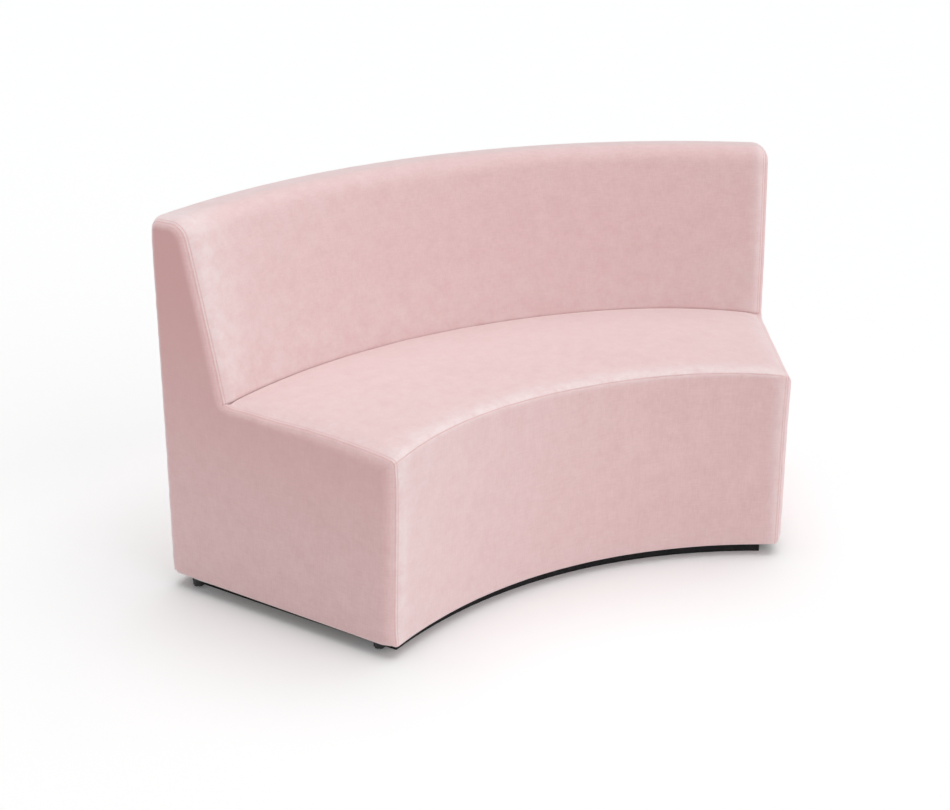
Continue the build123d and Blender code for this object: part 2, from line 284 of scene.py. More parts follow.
def seat_path():
    start = FRONT_RADIUS + SEAT_FRONT_ROUND
    corner = seat_height(start) - SEAT_FRONT_ROUND
    turn_in, turn_height = crevice_turn()
    radii = np.linspace(start, turn_in, SEAT_POINTS)
    return trace(
        arc((start, corner), SEAT_FRONT_ROUND, SEAT_FRONT_SEAM, 90),
        np.column_stack([radii, seat_height(radii)]),
        arc((turn_in, turn_height), CREVICE_ROUND, 90, 0),
        [(turn_in + CREVICE_ROUND, turn_height - CREVICE_DROP)],
    )


def back_path():
    turn_in, turn_height = crevice_turn()
    foot = CREVICE_HEIGHT + BACK_FOOT_LIFT
    foot_corner = (back_radius_at(foot) + BACK_FOOT_ROUND / math.cos(RAKE), foot)
    height = TOP - TOP_FRONT_ROUND
    front_corner = (back_radius_at(height) + TOP_FRONT_ROUND / math.cos(RAKE), height)
    rear_corner = (REAR_RADIUS - TOP_REAR_ROUND, TOP - TOP_REAR_ROUND)
    raked = 180 - math.degrees(RAKE)
    return trace(
        [(turn_in + CREVICE_ROUND, turn_height - CREVICE_DROP)],
        arc(foot_corner, BACK_FOOT_ROUND, BACK_FOOT_TURN, raked),
        arc(front_corner, TOP_FRONT_ROUND, raked, 90),
        arc(rear_corner, TOP_REAR_ROUND, 90, 45),
    )


def outside_back_path():
    corner = (REAR_RADIUS - TOP_REAR_ROUND, TOP - TOP_REAR_ROUND)
    return trace(
        arc(corner, TOP_REAR_ROUND, 45, 0),
        arc((REAR_RADIUS - HEM_ROUND, UNDERSIDE + HEM_ROUND), HEM_ROUND, 0, -90),
        [(REAR_RADIUS - HEM_TURN, UNDERSIDE)],
    )


def rounding(distance, width, depth):
    """Depth lost beside a seam: an arc from the given depth at the seam to the face at the given width."""
    radius = (width ** 2 + depth ** 2) / (2 * np.maximum(depth, LEAST_DEPTH))
    short = np.clip(width - distance, 0, width)
    return radius - np.sqrt(radius ** 2 - short ** 2)


def fold(distance, place):
    """Share of a thin line at a place, 1 in its middle."""
    return np.exp(-(((distance - place) / SEAM_GROOVE_WIDTH) ** 2))


def seam_line(distance, stitched):
    """Height of the sewn edge: a groove at the seam, the allowance raised beside it and a stitch line."""
    ridge = SEAM_RIDGE * np.sin(math.pi * np.clip(distance / STITCH_INSET, 0, 1))
    stitches = STITCH_GROOVE * fold(distance, STITCH_INSET) if stitched else 0
    return ridge - SEAM_GROOVE * fold(distance, 0) - stitches


def graded(length, field):
    """Distances from 0 to length, close together in up to a third at each end and field apart between."""
    steps = []
    step = EDGE_STEP
    while step < field and sum(steps) < length / 3:
        steps.append(step)
        step *= EDGE_GROWTH
    edge = np.concatenate([[0], np.cumsum(steps)])
    count = max(2, int(round((length - 2 * edge[-1]) / field)) + 1)
    middle = np.linspace(edge[-1], length - edge[-1], count)
    return np.concatenate([edge[:-1], middle, length - edge[:-1][::-1]])


class Edge:
    """A long edge of a panel: if it is sewn, how strong and how wide the painted sheen beside it is, and how
    strong the painted shade beside it is.
    """

    def __init__(self, sewn, rub, pale_sheen_width, shade=0.0):
        self.sewn = sewn
        self.rub = rub
        self.pale_sheen_width = pale_sheen_width
        self.shade = shade


def edge_falloff(distance, width):
    """Share of painted light at a distance from an edge: all of it at the edge, none at the given width."""
    return 1 - smooth(0, width, distance)


class Panel:
    """One panel of the cover, swept round the arc axis and rolled down to its two ends.

    rolls has places along the section, and the depth and the width of the roll at each of them. The tuple of
    painted sheen has how strong the painted sheen is at the ends and how wide at the left one, an even
    painted sheen over the panel, and how much more of it towards the left. crown is how far the panel swells.
    """

    def __init__(self, name, path, rolls, near_edge, far_edge, painted_sheen, crown, seed):
        self.name = name
        self.even, self.line, self.normals = path
        self.length = self.even[-1]
        self.rolls = rolls
        self.near_edge = near_edge
        self.far_edge = far_edge
        self.end_rub, self.end_width, self.pale, self.left_sheen = painted_sheen
        self.crown = crown
        self.seed = seed
        self.swelling = None

    def across(self, places):
        """Section points and outward normals at the given distances along the section."""
        point = [np.interp(places, self.even, self.line[:, axis]) for axis in (0, 1)]
        normal = [np.interp(places, self.even, self.normals[:, axis]) for axis in (0, 1)]
        return point[0], point[1], normal[0], normal[1]

    def painted_light(self, turn, to_end, to_near, to_far):
        """Painted light on the pile: painted sheen beside the seams and growing towards the left end, painted
        shade beside shaded edges and in the seam lines.
        """
        left = (1 - turn) / 2
        width = END_SHEEN_WIDTH_RIGHT + (self.end_width - END_SHEEN_WIDTH_RIGHT) * left
        shown = self.end_rub * (END_SHEEN_RIGHT + (END_SHEEN_LEFT - END_SHEEN_RIGHT) * left) * edge_falloff(to_end, width)
        shade = np.zeros_like(to_end)
        # Painted shade in the seam grooves and stitch lines
        line = np.maximum(fold(to_end, 0), fold(to_end, STITCH_INSET))
        # Painted sheen beside each edge, and painted shade beside edges that carry it
        for edge, distance in ((self.near_edge, to_near), (self.far_edge, to_far)):
            shown = np.maximum(shown, edge.rub * edge_falloff(distance, edge.pale_sheen_width))
            shade = shade - edge.shade * edge_falloff(distance, SHADE_WIDTH) * smooth(0, SHADE_WIDTH, to_end)
            if edge.sewn:
                line = np.maximum(line, fold(distance, 0))
        # An even painted sheen over the panel, with more of it towards the left end
        shown = shown + (self.pale + self.left_sheen * left ** 2) * (1 - shown) * (1 + shade) + shade
        return shown - line * (shown + SEAM_SHADE)

    def surface(self, turns, places, detail=True):
        """Points of the outer face and of the lining behind it, and the painted light on the pile; turns go
        from -1 to 1.
        """
        r, z, normal_r, normal_z = (value[None, :] for value in self.across(places))
        turn = turns[:, None]
        reach = HALF_SWEEP - np.arcsin((seam_inset(r)[0] - end_flare(r, z)) / r)
        angle = turn * reach
        to_end = (1 - np.abs(turn)) * reach * r
        to_near = np.broadcast_to(places[None, :], to_end.shape)
        to_far = self.length - to_near
        roll_places, roll_depths, roll_widths = self.rolls
        depths = np.interp(places, roll_places, roll_depths)[None, :]
        widths = np.interp(places, roll_places, roll_widths)[None, :]
        height = -rounding(to_end, widths, depths)
        if detail:
            height = height + seam_line(to_end, True)
            for edge, distance in ((self.near_edge, to_near), (self.far_edge, to_far)):
                if edge.sewn:
                    height = height + seam_line(distance, False)
            height = height + self.unevenness(angle * r, to_near, to_end, to_far)
        if self.swelling is not None:
            height = height + self.swell_at(turns, places)
        to_border = np.minimum(to_end, np.minimum(to_near, to_far))
        depth = PAD_DEPTH * np.clip(to_border / PAD_EDGE, 0, 1)
        outer = self.place(angle, r, z, normal_r, normal_z, height, turn)
        inner = self.place(angle, r, z, normal_r, normal_z, height - depth, turn)
        return outer, inner, self.painted_light(turn, to_end, to_near, to_far)

    def place(self, angle, r, z, normal_r, normal_z, height, turn):
        """Row-frame points at a height over the section, with the droop and rise along the curve."""
        radius = r + normal_r * height
        level = z + normal_z * height + crevice_lift(r, z, turn)
        level = level - seat_droop(r, z, turn) + top_rise(z, turn)
        return np.stack([radius * np.sin(angle), AXIS_Y + radius * np.cos(angle), level], axis=-1)

    def unevenness(self, arc_place, place, to_end, to_far):
        """Small puckers that die out away from the seams, and a slow waviness of the filling."""
        to_edge = np.minimum(place, to_far)
        end_pucker = pucker(place, to_end, END_PUCKER, self.seed)
        edge_pucker = pucker(arc_place, to_edge, EDGE_PUCKER, self.seed + 1)
        slow = np.zeros_like(arc_place)
        for number, (slant, wave) in enumerate(SLOW_WAVES):
            slow = slow + SLOW_HEIGHT * ripple(arc_place + slant * place, wave, self.seed + 2 + number)
        return end_pucker + edge_pucker + slow * smooth(0, SLOW_FADE, np.minimum(to_end, to_edge))

    def swell(self):
        """Blows the plain panel up with cloth pressure and keeps how far each point rose."""
        middle = np.interp(self.length / 2, self.even, self.line[:, 0])
        turns = np.linspace(-1, 1, int(2 * HALF_SWEEP * middle / CLOTH_STEP) + 1)
        places = np.linspace(0, self.length, int(self.length / CLOTH_STEP) + 1)
        grid, _, _ = self.surface(turns, places, detail=False)
        columns, rows, _ = grid.shape
        numbers = np.arange(columns * rows).reshape(columns, rows)
        quads = quads_of(numbers)
        pinned = np.unique(np.concatenate([numbers[0], numbers[-1], numbers[:, 0], numbers[:, -1]]))
        moved = cloth_pressure(grid.reshape(-1, 3), quads, pinned).reshape(grid.shape)
        rise = np.linalg.norm(moved - grid, axis=-1)
        rise *= self.crown / max(rise.max(), LEAST_DEPTH)
        self.swelling = (turns, places, rise)

    def swell_at(self, turns, places):
        """Rise of the swollen cloth on another grid of the same panel."""
        coarse_turns, coarse_places, rise = self.swelling
        across = np.array([np.interp(places, coarse_places, row) for row in rise])
        return np.array([np.interp(turns, coarse_turns, column) for column in across.T]).T

    def grid(self):
        """The turns and places of the panel's fine grid."""
        middle = np.interp(self.length / 2, self.even, self.line[:, 0])
        run = 2 * HALF_SWEEP * middle
        return graded(run, FIELD_STEP) / run * 2 - 1, graded(self.length, FIELD_STEP)

    def border(self, side):
        """The panel's seam to an end panel, as points of the section plane."""
        _, places = self.grid()
        points, _, _ = self.surface(np.array([float(side)]), places)
        points = points[0]
        return np.column_stack([np.hypot(points[:, 0], points[:, 1] - AXIS_Y), points[:, 2]])

    def build(self):
        """Closed mesh of the panel: its outer face and the lining behind, joined at the border."""
        turns, places = self.grid()
        outer, inner, painted_light = self.surface(turns, places)
        columns, rows, _ = outer.shape
        numbers = np.arange(columns * rows).reshape(columns, rows)
        behind = numbers.copy()
        within = (columns - 2, rows - 2)
        behind[1:-1, 1:-1] = columns * rows + np.arange(within[0] * within[1]).reshape(within)
        points = np.vstack([outer.reshape(-1, 3), inner[1:-1, 1:-1].reshape(-1, 3)])
        faces = np.vstack([quads_of(numbers), quads_of(behind)[:, ::-1]])
        painted_lights = np.concatenate([painted_light.ravel(), painted_light[1:-1, 1:-1].ravel()])
        border = np.zeros(len(points), bool)
        border[np.concatenate([numbers[0], numbers[-1], numbers[:, 0], numbers[:, -1]])] = True
        return mesh_object(self.name, points, faces.tolist(), painted_lights, border)


def quads_of(numbers):
    """Four-sided faces of a grid of point numbers."""
    corners = (numbers[:-1, :-1], numbers[1:, :-1], numbers[1:, 1:], numbers[:-1, 1:])
    return np.stack([corner.ravel() for corner in corners], axis=-1)


def seat_droop(r, z, turn):
    """How far the seat and what is sewn to it sink towards the two ends."""
    share = np.clip((r - FRONT_RADIUS) / (CREVICE_RADIUS - FRONT_RADIUS), 0, 1)
    share = 1 - np.exp(-share / DROOP_GATHER)
    left = DROOP_LEFT[0] + (DROOP_LEFT[1] - DROOP_LEFT[0]) * share
    right = DROOP_RIGHT[0] + (DROOP_RIGHT[1] - DROOP_RIGHT[0]) * share
    depth = np.where(turn < 0, left, right)
    near_seat = smooth(*DROOP_START_HEIGHTS, z) * (1 - smooth(*DROOP_FADE_HEIGHTS, z))
    in_front = 1 - smooth(*DROOP_FADE_RADII, r)
    return depth * near_seat * in_front * np.abs(turn) ** DROOP_POWER


def crevice_lift(r, z, turn):
    """How far the bottom of the crevice comes up at its two ends."""
    depth = np.clip(CREVICE_HEIGHT - CREVICE_END - z, 0, CREVICE_END_LIFT)
    in_crevice = np.abs(r - CREVICE_RADIUS) < CREVICE_REACH
    return depth * in_crevice * smooth(CREVICE_END_FROM, 1, np.abs(turn))


def seam_inset(r):
    """How far the seam to an end panel lies inside the end, and how wide the end panel rolls down to it."""
    back = smooth(*SEAM_INSET_RADII, r)
    inset = SEAM_INSET_FRONT + (SEAM_INSET_BACK - SEAM_INSET_FRONT) * back
    return inset, END_ROLL_FRONT + (END_ROLL_BACK - END_ROLL_FRONT) * back


def top_rise(z, turn):
    """How far the back's top stands over its two ends."""
    return (TOP_RISE * (1 - np.abs(turn) ** TOP_RISE_POWER) - TOP_SINK) * smooth(TOP_RISE_FROM, TOP, z)


def end_flare(r, z):
    """How far the ends stand out towards their foot, most at the front."""
    depth = np.clip((r - FRONT_RADIUS) / (REAR_RADIUS - FRONT_RADIUS), 0, 1)
    foot = END_FLARE * (1 - smooth(UNDERSIDE, END_FLARE_HEIGHT, z)) * (1 - (1 - END_FLARE_REAR) * depth)
    return END_PROUD + foot


def mesh_object(name, points, faces, painted_light=None, border=None):
    """A smooth mesh object with outward faces, sharp along its border, with the painted light on its pile."""
    mesh = bpy.data.meshes.new(name)
    mesh.from_pydata([tuple(point) for point in points], [], faces)
    work = bmesh.new()
    work.from_mesh(mesh)
    bmesh.ops.recalc_face_normals(work, faces=work.faces)
    work.to_mesh(mesh)
    work.free()
    mesh.polygons.foreach_set("use_smooth", [True] * len(mesh.polygons))
    if border is not None:
        ends = np.zeros(2 * len(mesh.edges), np.int32)
        mesh.edges.foreach_get("vertices", ends)
        mesh.edges.foreach_set("use_edge_sharp", np.asarray(border)[ends].reshape(-1, 2).all(axis=1))
    if painted_light is not None:
        mesh.attributes.new("painted_light", "FLOAT", "POINT").data.foreach_set("value", np.asarray(painted_light, np.float32))
    made = bpy.data.objects.new(name, mesh)
    bpy.context.scene.collection.objects.link(made)
    return made


def cloth_pressure(points, faces, pinned):
    """Where the points of a sheet held at its pinned points go under pressure from behind."""
    mesh = bpy.data.meshes.new("cloth_work")
    mesh.from_pydata([tuple(point) for point in points], [], np.asarray(faces).tolist())
    sheet = bpy.data.objects.new("cloth_work", mesh)
    scene = bpy.context.scene
    scene.collection.objects.link(sheet)
    held = sheet.vertex_groups.new(name="held")
    held.add([int(number) for number in pinned], 1.0, "REPLACE")
    cloth = sheet.modifiers.new("Cloth", "CLOTH")
    settings = cloth.settings
    settings.quality = 6
    settings.mass = 0.3
    settings.tension_stiffness = 30
    settings.compression_stiffness = 30
    settings.shear_stiffness = 10
    settings.bending_stiffness = 4
    settings.vertex_group_mass = "held"
    settings.use_pressure = True
    settings.uniform_pressure_force = CLOTH_PRESSURE
    settings.effector_weights.gravity = 0
    cloth.point_cache.frame_start = 1
    cloth.point_cache.frame_end = CLOTH_FRAMES
    for number in range(1, CLOTH_FRAMES + 1):
        scene.frame_set(number)
    done = sheet.evaluated_get(bpy.context.evaluated_depsgraph_get())
    moved = np.zeros(len(points) * 3, np.float32)
    done.data.vertices.foreach_get("co", moved)
    bpy.data.objects.remove(sheet)
    bpy.data.meshes.remove(mesh)
    scene.frame_set(1)
    return moved.reshape(-1, 3).astype(float)


def main_panels():
    """The four panels that are swept round the curve."""
    # Each edge: sewn or not, strength and width of the painted sheen beside it, and the painted shade beside
    # the crevice
    seat_crevice = Edge(False, 0.0, 0.02, 0.9)
    back_crevice = Edge(False, 0.32, 0.24, 0.9)
    hem = Edge(False, 0.12, 0.12)
    seat_edge = Edge(True, 0.65, 0.06)
    front_edge = Edge(True, 0.45, 0.012)
    top_edge = Edge(True, 0.3, 0.07)
    front = front_path()
    seat = seat_path()
    back = back_path()
    outside = outside_back_path()
    front_run, seat_run, back_run, outside_run = (path[0][-1] for path in (front, seat, back, outside))
    front_rolls = (
        (0.0, 0.03, 0.06, front_run - 0.05, front_run),
        (0.002, 0.003, 0.006, 0.006, 0.008),
        (0.006, 0.012, 0.02, 0.02, 0.034),
    )
    seat_rolls = (
        (0.0, 0.10, seat_run - 0.14, seat_run - 0.03, seat_run),
        (0.008, 0.013, 0.015, 0.008, 0.0),
        (0.034, 0.05, 0.056, 0.045, 0.02),
    )
    back_rolls = (
        (0.0, 0.02, 0.12, back_run),
        (0.0, 0.009, 0.009, 0.009),
        (0.02, 0.024, 0.022, 0.022),
    )
    outside_rolls = (
        (0.0, 0.06, outside_run - 0.06, outside_run),
        (0.009, 0.006, 0.006, 0.008),
        (0.022, 0.02, 0.02, 0.02),
    )
    return {
        "front": Panel(
            "front_panel_cover", front, front_rolls, hem, front_edge,
            painted_sheen=(1.0, 0.05, 0.02, 0.32), crown=0.002, seed=11,
        ),
        "seat": Panel(
            "seat_pad", seat, seat_rolls, seat_edge, seat_crevice,
            painted_sheen=(0.3, 0.05, 0.17, 0.14), crown=0.003, seed=23,
        ),
        "back": Panel(
            "back_pad", back, back_rolls, back_crevice, top_edge,
            painted_sheen=(1.0, 0.16, 0.08, 0.22), crown=0.003, seed=37,
        ),
        "outside": Panel(
            "outside_back_pad", outside, outside_rolls, top_edge, hem,
            painted_sheen=(0.6, 0.05, 0.0, 0.2), crown=0.002, seed=53,
        ),
    }


def end_outline(panels, side):
    """Closed outline of an end panel, along its seams to the four swept panels, and which points are sewn."""
    front, seat, back, outside = (panels[name].border(side) for name in ("front", "seat", "back", "outside"))
    front = front[front[:, 0] < FRONT_RADIUS + HEM_TUCK]
    outside = outside[outside[:, 0] > REAR_RADIUS - HEM_TUCK]
    across = np.linspace(outside[-1, 0], front[0, 0], HEM_POINTS)[1:-1]
    lift = END_HEM_LIFT + END_HEM_LIFT_REAR * (across - across[-1]) / (across[0] - across[-1])
    bottom = np.column_stack([across, UNDERSIDE + lift])
    points = np.vstack([front, seat[1:], back[1:], outside[1:], bottom])
    sewn = np.arange(len(points)) < len(points) - len(bottom)
    gap = np.hypot(*np.diff(np.vstack([points, points[:1]]), axis=0).T)
    return points[gap > ON_EDGE], sewn[gap > ON_EDGE]


def distance_to_line(points, start, end):
    """Least distance from each point to the stretches from the start points to the end points."""
    run = end - start
    length = (run ** 2).sum(axis=1)
    least = np.full(len(points), np.inf)
    for corner, side, square in zip(start, run, length):
        offset = points - corner
        share = np.clip(offset @ side / square, 0, 1)
        gap = np.hypot(*(offset - share[:, None] * side).T)
        least = np.minimum(least, gap)
    return least


def inside_outline(points, outline):
    """Whether each point lies within the closed outline."""
    inside = np.zeros(len(points), bool)
    for (x0, y0), (x1, y1) in zip(outline, np.roll(outline, -1, axis=0)):
        if y0 == y1:
            continue
        crosses = (y0 > points[:, 1]) != (y1 > points[:, 1])
        inside ^= crosses & (points[:, 0] < x0 + (points[:, 1] - y0) / (y1 - y0) * (x1 - x0))
    return inside


def end_panel_mesh(outline, sewn):
    """Points, distances to seam and hem, and faces of the flat end panel, finest beside its edge."""
    after = np.roll(outline, -1, axis=0)
    along = after - np.roll(outline, 1, axis=0)
    along /= np.hypot(*along.T)[:, None]
    inward = np.column_stack([along[:, 1], -along[:, 0]])
    rings = graded(RINGS_RUN, FIELD_STEP)
    rings = rings[(rings > 0) & (rings < RINGS_REACH)]
    points = [outline]
    for ring in rings:
        loop = outline + inward * ring
        clear = distance_to_line(loop, outline, after) > RINGS_CLEAR * ring
        points.append(loop[clear & inside_outline(loop, outline)])
    low, high = outline.min(axis=0), outline.max(axis=0)
    columns, rows = (np.arange(low[axis], high[axis], END_FIELD_STEP) for axis in (0, 1))
    field = np.stack(np.meshgrid(columns, rows), axis=-1).reshape(-1, 2)
    field = field[inside_outline(field, outline)]
    points.append(field[distance_to_line(field, outline, after) > rings[-1] + END_FIELD_GAP])
    points = np.vstack(points)
    loop = [list(range(len(outline)))]
    flat, _, faces, *_ = delaunay_2d_cdt([tuple(point) for point in points], [], loop, 1, 1e-6)
    flat = np.array([tuple(point) for point in flat])
    joined = sewn & np.roll(sewn, -1)
    to_seam = distance_to_line(flat, outline[joined], after[joined])
    to_hem = distance_to_line(flat, outline[~joined], after[~joined])
    return flat, to_seam, to_hem, [list(face) for face in faces]


def end_panel(name, side, flat, to_seam, to_hem, faces, rise):
    """One end panel as a closed pad; side is -1 for the left end and 1 for the right."""
    angle = side * HALF_SWEEP
    inset, roll = seam_inset(flat[:, 0])
    outward = inset - rounding(to_seam, roll, inset) + seam_line(to_seam, False) + SEAM_GROOVE
    outward = outward - rounding(to_hem, END_HEM_ROLL, END_HEM_DROP) * smooth(0, END_HEM_ROLL, to_seam)
    outward = outward - pucker(flat[:, 0] + flat[:, 1], to_seam, END_PANEL_PUCKER, END_PANEL_SEED + side)
    outward = np.where(to_seam < ON_EDGE, 0, outward + rise) - inset + end_flare(flat[:, 0], flat[:, 1])
    edge = np.minimum(to_seam, to_hem)
    depth = PAD_DEPTH * np.clip(edge / PAD_EDGE, 0, 1)

    def stand(height):
        x = flat[:, 0] * math.sin(angle) + side * height * math.cos(angle)
        y = AXIS_Y + flat[:, 0] * math.cos(angle) - side * height * math.sin(angle)
        return np.column_stack([x, y, flat[:, 1]])

    border = edge < ON_EDGE
    behind = np.arange(len(flat))
    behind[~border] = len(flat) + np.arange(int((~border).sum()))
    points = np.vstack([stand(outward), stand(outward - depth)[~border]])
    back = [[int(behind[number]) for number in reversed(face)] for face in faces]
    back = [face for face, front in zip(back, faces) if not all(border[number] for number in front)]
    # Painted sheen beside the seams, painted shade growing away from them and towards the top, and painted
    # shade in the seam line
    painted_light = END_PANEL_SHEEN * edge_falloff(to_seam, END_PANEL_SHEEN_WIDTH)
    painted_light = painted_light - END_PANEL_SHADE * smooth(0, roll, to_seam) * smooth(*END_PANEL_SHADE_HEIGHTS, flat[:, 1])
    painted_light = painted_light - fold(to_seam, 0) * (painted_light + SEAM_SHADE)
    border = np.concatenate([border, np.zeros(len(points) - len(flat), bool)])
    return mesh_object(name, points, faces + back, np.concatenate([painted_light, painted_light[~border[:len(flat)]]]), border)


def end_rise(flat, to_seam, to_hem, faces):
    """Swelling of the end panel under cloth pressure, as a height for each point."""
    points = np.column_stack([flat, np.zeros(len(flat))])
    moved = cloth_pressure(points, faces, np.where(np.minimum(to_seam, to_hem) < END_HELD)[0])
    rise = np.abs(moved[:, 2])
    return rise * END_CROWN / max(rise.max(), LEAST_DEPTH)


class Nodes:
    """Shorthand for building a material's node tree."""

    def __init__(self, name):
        self.material = bpy.data.materials.new(name)
        self.material.use_nodes = True
        self.tree = self.material.node_tree
        self.shader = self.tree.nodes["Principled BSDF"]
        self.coordinates = self.add("ShaderNodeTexCoord").outputs["Object"]

    def add(self, kind, **values):
        node = self.tree.nodes.new(kind)
        for key, value in values.items():
            setattr(node, key, value)
        return node

    def link(self, source, target):
        self.tree.links.new(source, target)

    def feed(self, socket, source):
        """Links a source to one of the shader's own sockets."""
        self.link(source, self.shader.inputs[socket])

    def set(self, **values):
        """Values on the shader's own sockets, with _ for a blank in a socket's name."""
        for key, value in values.items():
            self.shader.inputs[key.replace("_", " ")].default_value = value

    def stretched(self, scale):
        mapping = self.add("ShaderNodeMapping")
        mapping.inputs["Scale"].default_value = scale
        self.link(self.coordinates, mapping.inputs["Vector"])
        return mapping.outputs["Vector"]

    def noise(self, scale, detail=2.0, roughness=0.5, vector=None):
        node = self.add("ShaderNodeTexNoise")
        node.inputs["Scale"].default_value = scale
        node.inputs["Detail"].default_value = detail
        node.inputs["Roughness"].default_value = roughness
        self.link(vector or self.coordinates, node.inputs["Vector"])
        return node.outputs["Fac"]

    def spread(self, source, low, high, to_low=0.0, to_high=1.0):
        node = self.add("ShaderNodeMapRange")
        for key, value in (("From Min", low), ("From Max", high), ("To Min", to_low), ("To Max", to_high)):
            node.inputs[key].default_value = value
        self.link(source, node.inputs["Value"])
        return node.outputs["Result"]

    def mix(self, factor, first, second):
        node = self.add("ShaderNodeMix", data_type="RGBA")
        self.link(factor, node.inputs["Factor"])
        for socket, value in ((node.inputs[6], first), (node.inputs[7], second)):
            if isinstance(value, tuple):
                socket.default_value = (*value, 1.0)
            else:
                self.link(value, socket)
        return node.outputs[2]

    def math(self, operation, first, second):
        node = self.add("ShaderNodeMath", operation=operation)
        self.link(first, node.inputs[0])
        self.link(second, node.inputs[1])
        return node.outputs["Value"]

    def bump(self, source, strength, distance, normal=None):
        node = self.add("ShaderNodeBump")
        node.inputs["Strength"].default_value = strength
        node.inputs["Distance"].default_value = distance
        self.link(source, node.inputs["Height"])
        if normal is not None:
            self.link(normal, node.inputs["Normal"])
        return node.outputs["Normal"]


def velvet():
    nodes = Nodes("velvet")
    cloud = nodes.spread(nodes.noise(26, 5, 0.72), 0.36, 0.64)
    warp = nodes.noise(1, 2, 0.6, nodes.stretched((320, 320, 50)))
    weft = nodes.noise(1, 2, 0.6, nodes.stretched((50, 50, 320)))
    weave = nodes.spread(nodes.math("ADD", warp, weft), 0.75, 1.25)
    pile = nodes.noise(1100, 2, 0.6)
    # The first of these two colours is a painted sheen and the second a painted shade, laid on by the painted
    # light attribute
    sheen_colour, shade_colour = (0.89, 0.76, 0.755), (0.70, 0.40, 0.39)
    low = nodes.mix(cloud, (0.73, 0.455, 0.455), (0.765, 0.495, 0.495))
    high = nodes.mix(cloud, (0.785, 0.51, 0.51), (0.82, 0.55, 0.55))
    colour = nodes.mix(weave, low, high)
    painted_light = nodes.add("ShaderNodeAttribute", attribute_name="painted_light").outputs["Fac"]
    patchy = nodes.spread(nodes.noise(34, 4, 0.7), 0.35, 0.65, 0.6, 1.25)
    # Painted sheen where the painted light attribute is above zero
    colour = nodes.mix(nodes.math("MULTIPLY", nodes.spread(painted_light, 0, 1), patchy), colour, sheen_colour)
    # Painted shade where it is below zero
    nodes.feed("Base Color", nodes.mix(nodes.spread(painted_light, 0, -1), colour, shade_colour))
    nodes.feed("Roughness", nodes.spread(pile, 0.2, 0.8, 0.82, 0.98))
    soft = nodes.bump(weave, 0.15, 0.0004)
    nodes.feed("Normal", nodes.bump(pile, 0.28, 0.0006, soft))
    # Less of the shader's own sheen where painted shade lies
    nodes.feed("Sheen Weight", nodes.spread(painted_light, -1, 0, 0.2, 1.0))
    nodes.set(Sheen_Roughness=0.6, Sheen_Tint=(1.0, 0.93, 0.93, 1.0), Specular_IOR_Level=0.1)
    return nodes.material


def plywood():
    nodes = Nodes("plywood")
    grain = nodes.noise(1, 5, 0.6, nodes.stretched((9, 60, 60)))
    plies = nodes.noise(1, 1, 0.4, nodes.stretched((2, 2, 420)))
    light, dark = (0.66, 0.50, 0.33), (0.50, 0.35, 0.21)
    nodes.feed("Base Color", nodes.mix(nodes.spread(grain, 0.35, 0.65), light, dark))
    nodes.feed("Roughness", nodes.spread(grain, 0.2, 0.8, 0.5, 0.7))
    nodes.feed("Normal", nodes.bump(plies, 0.15, 0.0006))
    return nodes.material


def black_board():
    nodes = Nodes("black_board")
    grain = nodes.noise(1, 4, 0.6, nodes.stretched((50, 50, 400)))
    scuff = nodes.spread(nodes.noise(34, 3, 0.6), 0.4, 0.7)
    nodes.feed("Base Color", nodes.mix(scuff, (0.010, 0.010, 0.011), (0.020, 0.020, 0.021)))
    nodes.feed("Roughness", nodes.spread(grain, 0.2, 0.8, 0.38, 0.55))
    nodes.feed("Normal", nodes.bump(grain, 0.08, 0.0004))
    nodes.set(Specular_IOR_Level=0.2)
    return nodes.material


def moulded_plastic(name):
    nodes = Nodes(name)
    spark = nodes.noise(1600, 2, 0.5)
    scuff = nodes.spread(nodes.noise(60, 3, 0.6), 0.45, 0.7)
    nodes.feed("Base Color", nodes.mix(scuff, (0.014, 0.014, 0.015), (0.026, 0.026, 0.027)))
    nodes.feed("Roughness", nodes.spread(scuff, 0, 1, 0.42, 0.58))
    nodes.feed("Normal", nodes.bump(spark, 0.2, 0.0003))
    return nodes.material


def zinc_steel():
    nodes = Nodes("zinc_steel")
    brush = nodes.noise(1, 3, 0.6, nodes.stretched((900, 60, 900)))
    spangle = nodes.spread(nodes.noise(120, 2, 0.5), 0.35, 0.65)
    nodes.feed("Base Color", nodes.mix(spangle, (0.52, 0.53, 0.55), (0.64, 0.64, 0.66)))
    nodes.feed("Roughness", nodes.spread(brush, 0.2, 0.8, 0.28, 0.46))
    nodes.feed("Normal", nodes.bump(brush, 0.1, 0.0002))
    nodes.set(Metallic=1.0)
    return nodes.material


def woven_band(name, light, dark, pitch):
    """Plain weave of crossing threads at the given pitch in metres."""
    bands_at_scale_one = 3.2
    nodes = Nodes(name)
    threads = []
    for direction in ("X", "Y"):
        wave = nodes.add("ShaderNodeTexWave", bands_direction=direction)
        wave.inputs["Scale"].default_value = 1 / pitch / bands_at_scale_one
        wave.inputs["Distortion"].default_value = 0.6
        nodes.link(nodes.coordinates, wave.inputs["Vector"])
        threads.append(wave.outputs["Fac"])
    weave = nodes.math("MULTIPLY", *threads)
    scuff = nodes.spread(nodes.noise(45, 3, 0.6), 0.4, 0.65)
    nodes.feed("Base Color", nodes.mix(scuff, dark, light))
    nodes.feed("Normal", nodes.bump(weave, 0.4, 0.0004))
    nodes.set(Roughness=0.85, Sheen_Weight=0.2)
    return nodes.material


def paint(piece, material):
    piece.data.materials.clear()
    piece.data.materials.append(material)


def upholster(piece, nodes, material):
    """A velvet pad that stands for its cover and filling."""
    paint(piece, material)
    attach(piece, "body")
    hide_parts(*nodes)


